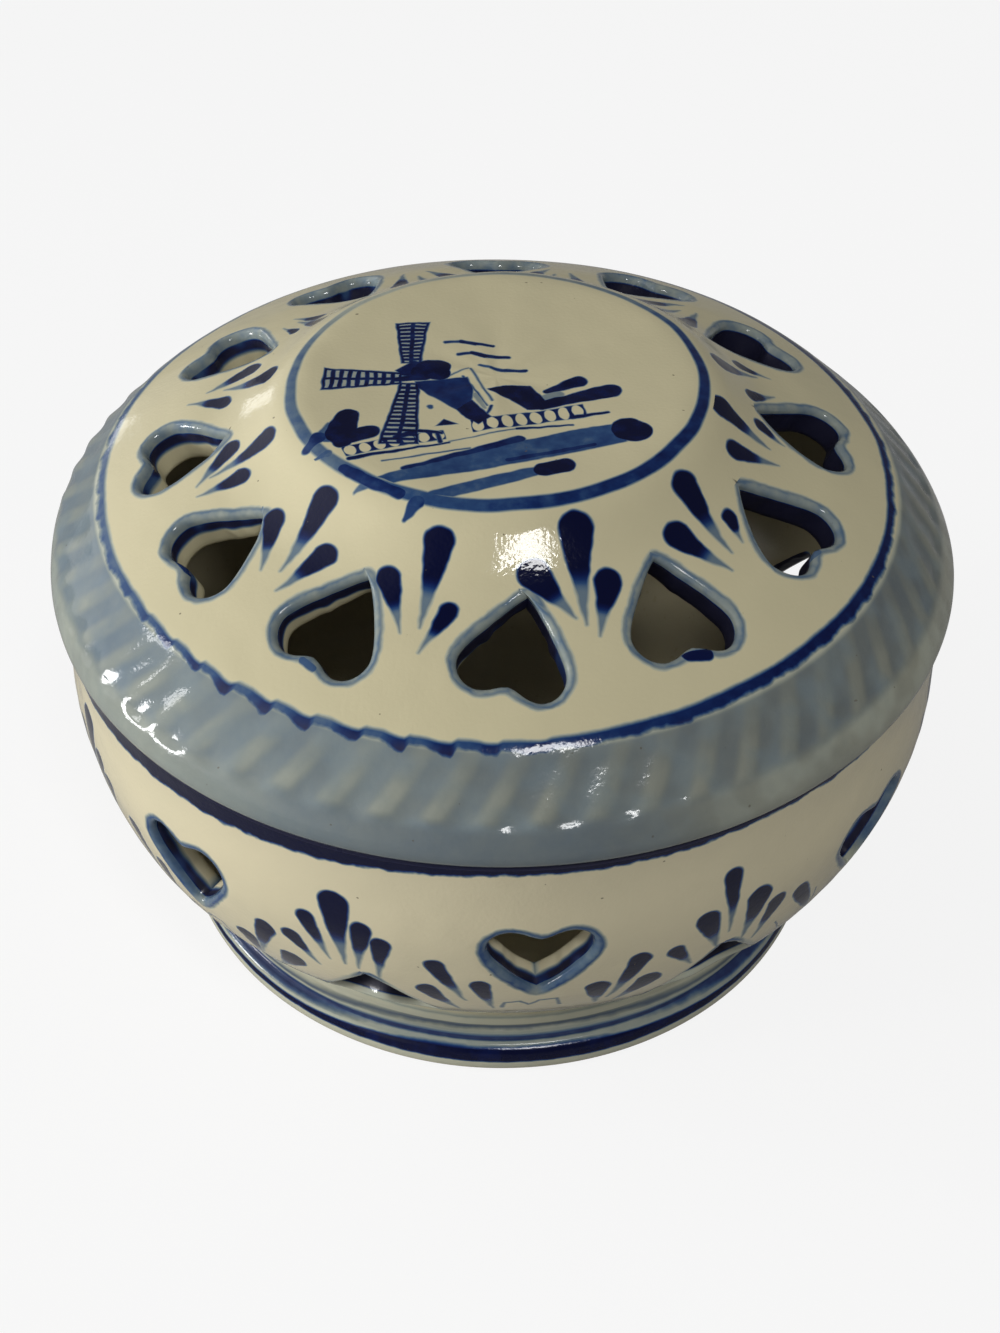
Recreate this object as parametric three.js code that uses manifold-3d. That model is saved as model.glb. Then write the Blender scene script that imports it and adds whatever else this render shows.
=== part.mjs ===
// Round pierced trinket box in two fired pieces: a domed lid and a footed bowl, standing on +Z.

import * as THREE from "three";
import { mergeVertices } from "three/addons/utils/BufferGeometryUtils.js";
import Module from "manifold-3d";

// Sizes shared by both pieces, in millimetres

const WALL = 4;
const EDGE = 0.6;
const RIM_RADIUS = 57.5;
const RIM_HEIGHT = 54;
const SEAT_GAP = 0.3;

// Lid

const CREST_HEIGHT = 79;
const MEDALLION_RADIUS = 23.5;
const LIP_OVERHANG = 0.8;
const LIP_RISE = 1.7;
const LIP_RETURN = 1;
const FLANGE_CLEARANCE = 0.7;
const FLANGE_WALL = 3.6;
const FLANGE_DEPTH = 5.6;
const FLANGE_ROOT = 3;
const FLUTES = 60;
const FLUTE_DEPTH = 0.45;
const LID_SEGMENTS = 60;

// Bowl

const WAIST_RADIUS = 42.6;
const WAIST_HEIGHT = 9.8;
const FOOT_RADIUS = 47;
const FOOT_RING_WIDTH = 5;
const RECESS_HEIGHT = 4.8;
const RECESS_LEAN = 1.8;
const FLOOR_WALL = 5.2;
const FLOOR_COVE = 7.6;
const BOWL_SEGMENTS = 56;

// Pierced hearts, in millimetres and degrees

const HEART_WIDTH = 12.9;
const HEART_LENGTH = 13.5;
const LID_HEARTS = 12;
const LID_HEART_PHASE = -88.5;
const LID_HEART_RADIUS = 40;
const BOWL_HEARTS = 8;
const BOWL_HEART_PHASE = -85;
const UPPER_HEART_HEIGHT = 36.6;
const LOWER_HEART_HEIGHT = 24.4;

// Curves, as shares of the way out and of the way down between two named points

const SHOULDER_SHARES = [
  [0, 0], [0.063, 0.017], [0.118, 0.061], [0.175, 0.135], [0.244, 0.222], [0.325, 0.3],
  [0.422, 0.365], [0.532, 0.43], [0.647, 0.509], [0.773, 0.609], [0.802, 0.639],
];
const FLUTED_SHARES = [[0.859, 0.7], [0.917, 0.778], [0.957, 0.857]];
const LIP_SHARES = [[0.989, 0.939], [1, 1]];
const FLUTE_FADE = [0.9, 1, 0.55];
const BELLY_SHARES = [
  [0, 0.014], [0.007, 0.079], [-0.007, 0.147], [-0.04, 0.238], [-0.04, 0.328], [-0.013, 0.419],
  [0.034, 0.509], [0.101, 0.593], [0.181, 0.679], [0.342, 0.765], [0.557, 0.846],
  [0.785, 0.923], [0.96, 0.975],
];
const FOOT_SHARES = [
  [0, 0], [0.159, 0.163], [0.273, 0.304], [0.523, 0.413], [0.636, 0.598], [0.909, 0.674], [1, 1],
];

// Half of a heart from its tip to its cleft, as shares of its half width and of its length
const HEART_SHARES = [
  [0, -0.51], [0.14, -0.45], [0.37, -0.31], [0.6, -0.155], [0.81, 0], [0.95, 0.133],
  [1, 0.244], [0.95, 0.363], [0.79, 0.45], [0.57, 0.49], [0.34, 0.46], [0.14, 0.4], [0, 0.37],
];

// Joining and cutting of solids

const wasm = await Module();
wasm.setup();

function solid(xyz, tris) {
  return new wasm.Manifold(
    new wasm.Mesh({ numProp: 3, vertProperties: Float32Array.from(xyz), triVerts: Uint32Array.from(tris) }),
  );
}

function named(name, body, colour) {
  const mesh = body.getMesh();
  const geometry = new THREE.BufferGeometry();
  geometry.setAttribute("position", new THREE.BufferAttribute(mesh.vertProperties, 3));
  geometry.setIndex(new THREE.BufferAttribute(mesh.triVerts, 1));
  geometry.computeVertexNormals();
  const material = new THREE.MeshStandardMaterial({ color: colour, roughness: 0.25 });
  material.name = `${name}_glaze`;
  const node = new THREE.Mesh(geometry, material);
  node.name = name;
  return node;
}

// Turned shapes

function curveBetween(curve, [r0, z0], [r1, z1]) {
  return curve.map(([outward, downward]) => [r0 + (r1 - r0) * outward, z0 + (z1 - z0) * downward]);
}

function plainRings(points, count) {
  return points.map(([r, z]) => ({ r, z, count, dip: 0 }));
}

// Every second point of a fluted ring sinks by its dip, inward and downward alike
function ringPoints({ r, z, count, dip }) {
  const points = [];
  for (let i = 0; i < count; i++) {
    const angle = (2 * Math.PI * i) / count;
    const sunk = i % 2 === 1 ? dip * Math.SQRT1_2 : 0;
    points.push((r - sunk) * Math.cos(angle), (r - sunk) * Math.sin(angle), z - sunk);
  }
  return points;
}

// Joins two rings, of any counts, into a band of triangles
function stitch(upper, lower, tris) {
  const upperSteps = upper.count === 1 ? 0 : upper.count;
  const lowerSteps = lower.count === 1 ? 0 : lower.count;
  const at = (ring, i) => ring.start + (i % ring.count);
  let i = 0;
  let j = 0;
  while (i < upperSteps || j < lowerSteps) {
    const upperFirst = (i + 1) * lower.count <= (j + 1) * upper.count;
    if (j === lowerSteps || (i < upperSteps && upperFirst)) {
      tris.push(at(upper, i), at(lower, j), at(upper, i + 1));
      i += 1;
    } else {
      tris.push(at(upper, i), at(lower, j), at(lower, j + 1));
      j += 1;
    }
  }
}

// A closed solid from rings that run from the axis, down the outside and back to the axis
function turned(rings) {
  const xyz = [];
  const tris = [];
  for (const ring of rings) {
    ring.start = xyz.length / 3;
    xyz.push(...ringPoints(ring));
  }
  for (let k = 0; k + 1 < rings.length; k++) {
    stitch(rings[k], rings[k + 1], tris);
  }
  return solid(xyz, tris);
}

// Every other point of a profile that runs down the outside, moved one depth into the wall
function inset(points, depth) {
  const moved = points.map(([r, z], i) => {
    const [r0, z0] = points[Math.max(i - 1, 0)];
    const [r1, z1] = points[Math.min(i + 1, points.length - 1)];
    const length = Math.hypot(r1 - r0, z1 - z0);
    return [r + ((z1 - z0) / length) * depth, z - ((r1 - r0) / length) * depth];
  });
  return moved.filter((_, i) => i % 2 === 1);
}

// Heart-shaped cutters

function heartBar() {
  const half = HEART_SHARES.map(([x, y]) => [(x * HEART_WIDTH) / 2, y * HEART_LENGTH]);
  const right = half.map(([x, y]) => new THREE.Vector2(x, y));
  const left = half.slice(1, -1).reverse().map(([x, y]) => new THREE.Vector2(-x, y));
  const shape = new THREE.Shape([...right, ...left]);
  const reach = WALL + HEART_WIDTH / 4;
  const bar = new THREE.ExtrudeGeometry(shape, { depth: 2 * reach, bevelEnabled: false });
  bar.deleteAttribute("normal");
  bar.deleteAttribute("uv");
  bar.translate(0, 0, -reach);
  return mergeVertices(bar);
}

// The point of a falling profile where one coordinate (0 radius, 1 height) has a value
function pointWhere(profile, axis, value) {
  const k = profile.findIndex((point, i) => {
    const next = profile[Math.min(i + 1, profile.length - 1)];
    return (point[axis] - value) * (next[axis] - value) <= 0;
  });
  const [from, to] = [profile[k], profile[k + 1]];
  const share = (value - from[axis]) / (to[axis] - from[axis]);
  return [from[0] + (to[0] - from[0]) * share, from[1] + (to[1] - from[1]) * share];
}

// Where a heart sits on a profile, and the angle above level at which it looks out
function heartSeat(profile, axis, value) {
  const reach = HEART_LENGTH / 4;
  const way = axis === 0 ? reach : -reach;
  const [r0, z0] = pointWhere(profile, axis, value - way);
  const [r1, z1] = pointWhere(profile, axis, value + way);
  const [radius, height] = pointWhere(profile, axis, value);
  return { radius, height, tilt: Math.atan2(r1 - r0, z0 - z1) };
}

function heartRow({ radius, height, tilt }, { count, phase, tipUp }) {
  const bar = heartBar();
  const cutters = [];
  for (let k = 0; k < count; k++) {
    const azimuth = THREE.MathUtils.degToRad(phase + (360 / count) * k);
    const across = new THREE.Vector3(-Math.sin(azimuth), Math.cos(azimuth), 0);
    const level = new THREE.Vector3(Math.cos(azimuth), Math.sin(azimuth), 0);
    const out = level.clone().multiplyScalar(Math.cos(tilt));
    out.z = Math.sin(tilt);
    const up = new THREE.Vector3().crossVectors(out, across);
    if (tipUp) {
      across.negate();
      up.negate();
    }
    const pose = new THREE.Matrix4().makeBasis(across, up, out);
    pose.setPosition(level.multiplyScalar(radius).setZ(height));
    const cut = bar.clone().applyMatrix4(pose);
    cutters.push(solid(cut.attributes.position.array, cut.index.array));
  }
  return cutters;
}

function pierced(body, cutters) {
  return cutters.reduce((rest, cutter) => rest.subtract(cutter), body);
}

// Lid: flat medallion, pierced shoulder, fluted band, rounded lip and a flange that drops into the bowl

const SEAT_HEIGHT = RIM_HEIGHT + SEAT_GAP;
const LIP_RADIUS = RIM_RADIUS + LIP_OVERHANG;

function lidCurve(curve) {
  return curveBetween(curve, [MEDALLION_RADIUS, CREST_HEIGHT], [LIP_RADIUS, SEAT_HEIGHT + LIP_RISE]);
}

function lidUnderside() {
  const foot = RIM_HEIGHT - FLANGE_DEPTH;
  const outer = RIM_RADIUS - WALL - FLANGE_CLEARANCE;
  const inner = outer - FLANGE_WALL;
  const hollow = inset(lidCurve(SHOULDER_SHARES), WALL).filter(([r]) => r < inner);
  return [
    [LIP_RADIUS - LIP_RETURN, SEAT_HEIGHT], [outer, SEAT_HEIGHT],
    [outer, foot + EDGE], [outer - EDGE, foot], [inner + EDGE, foot], [inner, foot + EDGE],
    [inner, SEAT_HEIGHT + FLANGE_ROOT], ...hollow.reverse(),
    [MEDALLION_RADIUS - WALL / 2, CREST_HEIGHT - WALL],
  ];
}

function makeLid() {
  const shoulder = lidCurve(SHOULDER_SHARES);
  const lip = [...lidCurve(LIP_SHARES), [LIP_RADIUS - EDGE / 3, SEAT_HEIGHT + EDGE]];
  const fluted = lidCurve(FLUTED_SHARES).map(([r, z], i) => {
    return { r, z, count: 2 * FLUTES, dip: FLUTE_DEPTH * FLUTE_FADE[i] };
  });
  const rings = [
    ...plainRings([[0, CREST_HEIGHT]], 1),
    ...plainRings(shoulder, LID_SEGMENTS),
    ...fluted,
    ...plainRings([...lip, ...lidUnderside()], LID_SEGMENTS),
    ...plainRings([[0, CREST_HEIGHT - WALL]], 1),
  ];
  const seat = heartSeat(shoulder, 0, LID_HEART_RADIUS);
  const hearts = heartRow(seat, { count: LID_HEARTS, phase: LID_HEART_PHASE, tipUp: true });
  return pierced(turned(rings), hearts);
}

// Bowl: plain rim, round belly with two rows of hearts, and a stepped foot ring

function bowlInside(belly) {
  const floor = RECESS_HEIGHT + FLOOR_WALL;
  const wall = inset(belly, WALL).reverse();
  return [
    [WAIST_RADIUS - FLOOR_COVE, floor], ...wall,
    [RIM_RADIUS - WALL + EDGE, RIM_HEIGHT], [RIM_RADIUS - EDGE, RIM_HEIGHT],
  ];
}

function bowlUnderside() {
  const outer = FOOT_RADIUS - EDGE;
  const inner = outer - FOOT_RING_WIDTH;
  return [[outer, 0], [inner, 0], [inner - EDGE, EDGE], [inner - RECESS_LEAN, RECESS_HEIGHT]];
}

function makeBowl() {
  const waist = [WAIST_RADIUS, WAIST_HEIGHT];
  const belly = curveBetween(BELLY_SHARES, [RIM_RADIUS, RIM_HEIGHT], waist);
  const foot = curveBetween(FOOT_SHARES, waist, [FOOT_RADIUS, EDGE]);
  const rings = [
    ...plainRings([[0, RECESS_HEIGHT + FLOOR_WALL]], 1),
    ...plainRings([...bowlInside(belly), ...belly, ...foot, ...bowlUnderside()], BOWL_SEGMENTS),
    ...plainRings([[0, RECESS_HEIGHT]], 1),
  ];
  const upper = heartRow(heartSeat(belly, 1, UPPER_HEART_HEIGHT), {
    count: BOWL_HEARTS, phase: BOWL_HEART_PHASE, tipUp: false,
  });
  const lower = heartRow(heartSeat(belly, 1, LOWER_HEART_HEIGHT), {
    count: BOWL_HEARTS, phase: BOWL_HEART_PHASE + 180 / BOWL_HEARTS, tipUp: true,
  });
  return pierced(turned(rings), [...upper, ...lower]);
}

const group = new THREE.Group();
group.name = "trinket_box";
group.add(named("bowl", makeBowl(), 0xcfc6a8));
group.add(named("lid", makeLid(), 0xc9c3ab));

export default group;
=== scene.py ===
"""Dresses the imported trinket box: a hand-painted, pierced and glazed pottery lid and bowl."""

from math import cos, dist, pi, radians, sin

import bmesh
import bpy
import numpy as np
from mathutils import Matrix, Vector


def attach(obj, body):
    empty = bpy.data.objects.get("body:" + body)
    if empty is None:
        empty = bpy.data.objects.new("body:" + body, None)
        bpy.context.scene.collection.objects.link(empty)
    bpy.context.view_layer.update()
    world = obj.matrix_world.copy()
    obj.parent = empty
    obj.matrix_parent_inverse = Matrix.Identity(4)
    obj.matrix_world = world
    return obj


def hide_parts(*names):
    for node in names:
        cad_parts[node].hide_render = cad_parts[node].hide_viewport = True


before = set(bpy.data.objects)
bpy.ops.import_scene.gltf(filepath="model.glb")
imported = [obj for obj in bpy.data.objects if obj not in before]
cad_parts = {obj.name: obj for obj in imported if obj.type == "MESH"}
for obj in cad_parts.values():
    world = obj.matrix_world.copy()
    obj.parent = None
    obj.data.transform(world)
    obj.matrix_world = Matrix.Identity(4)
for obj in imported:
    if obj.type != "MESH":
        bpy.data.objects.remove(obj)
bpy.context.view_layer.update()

# Shared sizes, in millimetres and degrees

MM = 0.001
WALL = 4
# How far a heart's edges are rolled, outside and inside
HOLE_ROUND, HOLE_ROUND_IN = 0.75, 0.45
# How far the lid's shoulder stands up at its back left
LID_SWELL = 1.9

FLUTES = 60
FLUTE_DEPTH = 0.36
# How far a groove leans per millimetre down, in radians, with the next groove at two pi
FLUTE_SLANT = 0.62

# Lengths along the profiles, from the lid's middle and from the bowl's rim
MEDALLION_END = 26.7
RING_AT = 25.35
LID_BAND = (33.6, 51.6)
LID_HEART_AT = 42.6
FLUTE_START, FLUTE_MIDDLE, FLUTE_END = 54.4, 58, 62.95
BOWL_BAND = (6, 38)
UPPER_HEART_AT, LOWER_HEART_AT = 16.4, 29.3
FOOT_START = 47

# Cells of one heart each, the azimuth of one, and the points across and down a cell
LID_CELLS, BOWL_CELLS = 12, 8
LID_STEP, BOWL_STEP = 360 / LID_CELLS, 360 / BOWL_CELLS
LID_PHASE, BOWL_PHASE = -88.5, -85
LID_ACROSS, BOWL_ACROSS, DOWN = 60, 40, 28

# Materials by their place on each piece
MEDALLION, SHOULDER, FLUTED, LID_INSIDE = range(4)
BELLY, FOOT, BOWL_INSIDE, BISCUIT = range(4)

# The unfolded chart: middles and radii of the outside and the inside, and the underside's radius
OUTSIDE_HUB, INSIDE_HUB = (0.452, 0.548), (0.858, 0.142)
OUTSIDE_REACH, INSIDE_REACH, FOOT_REACH = 0.446, 0.135, 0.13

# Stands for the distance from a heart's edge where that doesn't matter
FAR = 9
# Points that round to the same of so many places per millimetre become one
WELD = 2000

LID_OUTSIDE = [
    (0, 79), (6, 79), (12, 79), (18, 79), (21.5, 79), (23.8, 78.95), (25.7, 78.6), (27.6, 77.6),
    (29.6, 75.9), (32, 73.9), (34.8, 72.1), (38.2, 70.6), (42, 69.1), (46, 67.3), (48.6, 66.05),
    (50, 65.3), (51, 64.5), (52.2, 63.35), (53.6, 62), (55.2, 60.45), (56.6, 58.95), (57.6, 57.5),
    (58.2, 56.3), (58.3, 55.5), (58.1, 54.8), (57.6, 54.35),
]
BOWL_OUTSIDE = [
    (57.4, 53.3), (57.4, 50.5), (57.6, 47.5), (58, 43.5), (58.1, 39.5), (57.7, 35.5), (57, 31.5),
    (56, 27.8), (54.5, 24), (52.3, 20.2), (49.3, 16.6), (45.9, 13.2), (43.2, 10.9), (42.5, 9.8),
    (42.9, 8.7), (43.9, 8.1), (44.25, 7.1), (44.2, 6.2), (45, 5.7), (45.3, 4.8), (45.2, 4.1),
    (46.2, 3.7), (46.8, 2.6), (47, 0.9), (46.7, 0.25), (46.1, 0),
]
# Corners of the hidden sides, as radius, height and rounding
LID_UNDERSIDE = [
    (57.6, 54.35, 0), (52.8, 54.3, 0.5), (52.8, 48.4, 0.8), (49.2, 48.4, 0.8), (49.2, 59, 1.6),
    (46.6, 62.4, 0),
]
BOWL_RIM = [(57.4, 53.3, 0), (57.4, 54, 0.6), (53.5, 54, 0.9), (53.4, 50, 0)]
BOWL_FOOT = [(46.1, 0, 0), (41.4, 0, 0.6), (40.2, 4.7, 1.2), (20, 4.7, 0), (0, 4.7, 0)]

# Half a heart from its tip to its cleft, at its full size
HEART_HALF = [
    (0, -6.6), (0.9, -5.75), (2.4, -3.95), (3.9, -1.9), (5.15, 0), (6.05, 1.7), (6.45, 3.15),
    (6.15, 4.7), (5.2, 5.85), (3.8, 6.35), (2.3, 6.05), (0.9, 5.35), (0, 5.1),
]


# Curves

def smooth_curve(points, step=0.08):
    """A dense curve through points that leaves each point along its neighbours' chord."""
    p = np.array(points, float)
    p = np.vstack([2 * p[0] - p[1], p, 2 * p[-1] - p[-2]])
    out = []
    for a, b, c, d in zip(p, p[1:], p[2:], p[3:]):
        n = max(2, int(np.linalg.norm(c - b) / step))
        t = np.linspace(0, 1, n, endpoint=False)[:, None]
        k0, k1, k2 = (np.linalg.norm(q - r) ** 0.5 for q, r in ((b, a), (c, b), (d, c)))
        m1 = (c - b) + k1 * ((b - a) / k0 - (c - a) / (k0 + k1))
        m2 = (c - b) + k1 * ((d - c) / k2 - (d - b) / (k1 + k2))
        out.append((2 * t**3 - 3 * t**2 + 1) * b + (t**3 - 2 * t**2 + t) * m1)
        out[-1] = out[-1] + (3 * t**2 - 2 * t**3) * c + (t**3 - t**2) * m2
    out.append(p[-2][None])
    return np.vstack(out)


def lengths(points):
    steps = np.linalg.norm(np.diff(np.array(points, float), axis=0), axis=1)
    return np.concatenate([[0], np.cumsum(steps)])


def unit(ways):
    return ways / np.linalg.norm(ways, axis=1)[:, None]


class Profile:
    """The outside of a piece, read by the length along it, with its outward direction."""

    def __init__(self, points):
        p = smooth_curve(points)
        self.s = lengths(p)
        tangent = np.gradient(p, self.s, axis=0)
        for _ in range(6):
            tangent[1:-1] = (tangent[:-2] + 2 * tangent[1:-1] + tangent[2:]) / 4
        tangent = unit(tangent)
        self.p, self.n = p, np.stack([-tangent[:, 1], tangent[:, 0]], 1)
        self.end = self.s[-1]

    def radius(self, s):
        return np.interp(s, self.s, self.p[:, 0])

    def at(self, s, depth):
        places = zip(self.p.T, self.n.T)
        return [np.interp(s, self.s, p) - depth * np.interp(s, self.s, n) for p, n in places]


def rounded(corners, steps=5):
    """A line through (radius, height, rounding) corners with each corner rounded."""
    out = []
    for k, (r, z, rounding) in enumerate(corners):
        p = np.array([r, z], float)
        if rounding == 0:
            out.append(p)
            continue
        ways = [np.array(corners[k + d][:2], float) - p for d in (-1, 1)]
        a, b = (p + way / np.linalg.norm(way) * rounding for way in ways)
        for t in np.linspace(0, 1, steps):
            out.append((1 - t) ** 2 * a + 2 * t * (1 - t) * p + t**2 * b)
    return out


def eased(share):
    """0 up to 0 and 1 from 1 on, with a smooth passage between."""
    share = np.clip(share, 0, 1)
    return share**2 * (3 - 2 * share)


def uneven(theta, s, end, swell=0):
    """How far the thrown surface stands from a true one; swell raises its back left shoulder."""
    slow = 0.07 * np.sin(3 * theta + 0.09 * s) + 0.05 * np.sin(7 * theta - 0.13 * s + 1)
    fine = 0.03 * np.sin(13 * theta + 0.21 * s + 2) * np.sin(0.3 * s)
    side = np.clip(0.35 + 0.65 * np.cos(theta - radians(138)), 0, 1)
    lift = eased(np.clip((s - 27) / 16, 0, 1) * np.clip((end - s) / 7, 0, 1))
    ends = np.clip(np.minimum(s, end - s) / 4, 0, 1)
    return (slow + fine) * ends + swell * side * lift


# Skins: closed surfaces gathered ring by ring

class Skin:
    """Rings of points and the faces between them.

    rho and tau give a place's radius in the charts of the outside and of the inside, by its
    length; cut holds the materials round the hearts, outside and inside; theta is the azimuths
    of the whole rings.
    """

    def __init__(self, profile, rho, tau, cut, theta, swell=0):
        self.profile, self.rho, self.tau, self.swell = profile, rho, tau, swell
        self.cut, self.theta = cut, theta
        self.points, self.faces, self.count = [], [], 0

    def add(self, theta, s, r, z, edge, rho, tau, hub=(0, 0), shrink=1):
        """Adds a ring; a hub and a shrink draw its place in the outside's chart towards the hub."""
        s, r, z, edge, rho, tau = np.broadcast_arrays(s, r, z, edge, rho, tau, theta)[:6]
        u, v = rho * np.cos(theta), rho * np.sin(theta)
        u, v = hub[0] + (u - hub[0]) * shrink, hub[1] + (v - hub[1]) * shrink
        x, y = r * np.cos(theta), r * np.sin(theta)
        inner = tau * np.cos(theta), tau * np.sin(theta)
        self.points.append(np.stack([x, y, z, s, edge, u, v, *inner], 1))
        self.count += len(theta)
        return np.arange(self.count - len(theta), self.count)

    def bands(self, rings, slot, inside=False):
        """Quads between each ring and the next, all of equal counts."""
        for a, b in zip(rings, rings[1:]):
            quads = np.stack([a, b, np.roll(b, -1), np.roll(a, -1)], 1)
            self.faces.append((quads, slot, inside))

    def raised(self, theta, s):
        return uneven(theta, s, self.profile.end, self.swell)

    def outside(self, rows, slot, sink=None):
        """A surface down the outside by the given lengths, lowered by sink."""
        rings = []
        for s in rows:
            depth = sink(self.theta, s) if sink else 0
            r, z = self.profile.at(s, depth - self.raised(self.theta, s))
            rings.append(self.add(self.theta, s, r, z, FAR, self.rho(s), 0))
        self.bands(rings, slot)

    def offset(self, rows, slot):
        """A surface inside, one wall below the outside."""
        self.bands([
            self.add(self.theta, s, *self.profile.at(s, WALL), FAR, 0, self.tau(s))
            for s in rows], slot, True)

    def path(self, points, start, end, slot, outer=False):
        """A surface through given points, whose chart radius runs from start to end."""
        along = lengths(points)
        rings = []
        for (r, z), share in zip(points, along / along[-1]):
            reach = start + (end - start) * share
            places = (reach, 0) if outer else (0, reach)
            rings.append(self.add(self.theta, -1 - share, r, z, FAR, *places))
        self.bands(rings, slot, not outer)

    def piece(self, name, slots):
        """The joined mesh as an object, with its paint attributes and its chart."""
        # Columns: x, y, z, length, distance from a heart, places in both charts
        data = np.vstack(self.points)
        key = np.round(data[:, :3] * WELD).astype(np.int64)
        _, first, back = np.unique(key, axis=0, return_index=True, return_inverse=True)
        back = back.ravel()
        faces, face_slots, corners = [], [], []
        for quads, slot, inside in self.faces:
            for quad in quads.tolist():
                kept = [q for i, q in enumerate(quad) if back[q] != back[quad[i - 1]]]
                if len(kept) > 2:
                    faces.append([int(back[q]) for q in kept])
                    face_slots.append(slot)
                    corners.extend((q, inside) for q in kept)
        mesh = bpy.data.meshes.new(name)
        mesh.from_pydata((data[first, :3] * MM).tolist(), [], faces)
        mesh.polygons.foreach_set("material_index", np.array(face_slots, np.int32))
        mesh.polygons.foreach_set("use_smooth", np.ones(len(faces), bool))
        for label, column in (("along_mm", 3), ("edge_mm", 4)):
            attribute = mesh.attributes.new(label, "FLOAT", "POINT")
            attribute.data.foreach_set("value", data[first, column].astype(np.float32))
        index = np.array([q for q, _ in corners])
        within = np.array([w for _, w in corners])[:, None]
        uv = np.where(within, data[index, 7:9] + INSIDE_HUB, data[index, 5:7] + OUTSIDE_HUB)
        mesh.uv_layers.new(name="OFBake").data.foreach_set("uv", uv.astype(np.float32).ravel())
        for slot in slots:
            mesh.materials.append(slot)
        work = bmesh.new()
        work.from_mesh(mesh)
        bmesh.ops.recalc_face_normals(work, faces=work.faces)
        work.to_mesh(mesh)
        work.free()
        piece = bpy.data.objects.new(name, mesh)
        bpy.context.scene.collection.objects.link(piece)
        return piece


# Hearts cut through a band of cells

def heart_points(turns, size):
    """Points of a heart with its tip up, at the given turns from its tip, clockwise."""
    half = smooth_curve(HEART_HALF, 0.05)
    loop = np.vstack([half, half[-2:0:-1] * [-1, 1]])
    angle = np.arctan2(loop[:, 0], -loop[:, 1])
    order = np.argsort(angle)
    reach = np.hypot(loop[:, 0], loop[:, 1])
    r = np.interp(turns, angle[order], reach[order], period=2 * pi) * size
    return np.stack([r * np.sin(turns), -r * np.cos(turns)], 1)


def cell_border(top, bottom, half, across):
    """Loop round a cell from its top's middle, clockwise, as (azimuth from the middle, length)."""
    x = np.linspace(0, half, across // 2 + 1)
    y = np.linspace(top(half), bottom(half), DOWN + 1)[1:-1]
    loop = [(a, top(a)) for a in x] + [(half, b) for b in y]
    loop += [(a, bottom(a)) for a in x[::-1]] + [(-a, bottom(a)) for a in x[1:]]
    loop += [(-half, b) for b in y[::-1]] + [(-a, top(a)) for a in x[:0:-1]]
    return np.array(loop)


def nearest(points, loop):
    """Distance from each point to a closed loop."""
    ab = np.roll(loop, -1, axis=0) - loop
    ap = points[:, None] - loop[None]
    t = np.clip((ap * ab).sum(-1) / (ab**2).sum(-1), 0, 1)
    return np.linalg.norm(ap - t[..., None] * ab, axis=-1).min(1)


def pierced_cell(skin, middle, border, at, heart, tip_up):
    """One cell of the wall, outside and inside, with a heart cut through it.

    heart holds how far it is off its place, in degrees and in millimetres, its lean and its size.
    """
    shift, drop, lean, size = heart
    profile = skin.profile
    centre, at = radians(shift), at + drop
    radius = profile.radius(border[:, 1])
    flat = np.stack([(border[:, 0] - centre) * radius, border[:, 1] - at], 1)
    turns = np.arctan2(border[:, 0] * profile.radius(at), at - drop - border[:, 1])
    hole = heart_points(turns, size) if tip_up else -heart_points(turns + pi, size)
    c, d = cos(radians(lean)), sin(radians(lean))
    hole = hole @ np.array([[c, d], [-d, c]])
    along = np.roll(hole, -1, axis=0) - np.roll(hole, 1, axis=0)
    outward = unit(np.stack([along[:, 1], -along[:, 0]], 1))
    spoke = unit(flat - hole)
    # One step along a spoke leads one step outward, except where it is nearly along the edge
    spoke /= np.maximum((spoke * outward).sum(1), 0.6)[:, None]
    place = skin.rho(at)
    hub = (place * cos(middle + centre), place * sin(middle + centre))

    def ring(local, depth, edge, shrink=1):
        s = at + local[:, 1]
        theta = middle + centre + local[:, 0] / profile.radius(s)
        raised = skin.raised(theta, s) * max(0, 1 - depth / WALL)
        r, z = profile.at(s, depth - raised)
        return skin.add(theta, s, r, z, edge, skin.rho(s), skin.tau(s), hub, shrink)

    lip = hole + spoke * HOLE_ROUND
    steps = [flat] + [lip + (flat - lip) * t for t in (0.72, 0.46, 0.26, 0.11)]
    rings = [ring(p, 0, nearest(p, hole)) for p in steps]
    for turn in np.linspace(0, pi / 2, 5):
        out, depth = HOLE_ROUND * (1 - sin(turn)), HOLE_ROUND * (1 - cos(turn))
        rings.append(ring(hole + spoke * out, depth, HOLE_ROUND * (1 - turn)))
    # How far the knife strayed as it cut the wall
    knife = 0.12 * np.sin(5 * turns + 9 * shift + middle) + 0.07 * np.sin(11 * turns + middle)
    knife = outward * (knife - 0.05)[:, None]
    for depth in (1.4, 2.2, 3):
        sway = knife * min(1, (depth - HOLE_ROUND) / 1.2)
        rings.append(ring(hole + sway, depth, -depth, 1 - 0.2 * depth))
    for turn in np.linspace(0, pi / 2, 3):
        out = HOLE_ROUND_IN * (1 - cos(turn))
        depth = WALL - HOLE_ROUND_IN * (1 - sin(turn))
        sway = knife * (1 - sin(turn))
        rings.append(ring(hole + spoke * out + sway, depth, -depth, 1 - 0.2 * depth))
    skin.bands(rings, skin.cut[0])
    lip = hole + spoke * HOLE_ROUND_IN
    inner = [rings[-1]] + [ring(lip + (flat - lip) * t, WALL, FAR) for t in (0.3, 0.65, 1)]
    skin.bands(inner, skin.cut[1], True)


def around(count, phase):
    """Azimuths of a ring's points, of which one is at the phase."""
    return np.radians(phase) + 2 * pi * np.arange(count) / count


def wrapped(degrees):
    """The same azimuth from -180 to 180."""
    return (degrees + 180) % 360 - 180


def near(spread, key):
    """A small fixed irregularity, the same each time for the same key."""
    return spread * sin(12.9898 * key + 4.1) * cos(7.233 * key)


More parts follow.
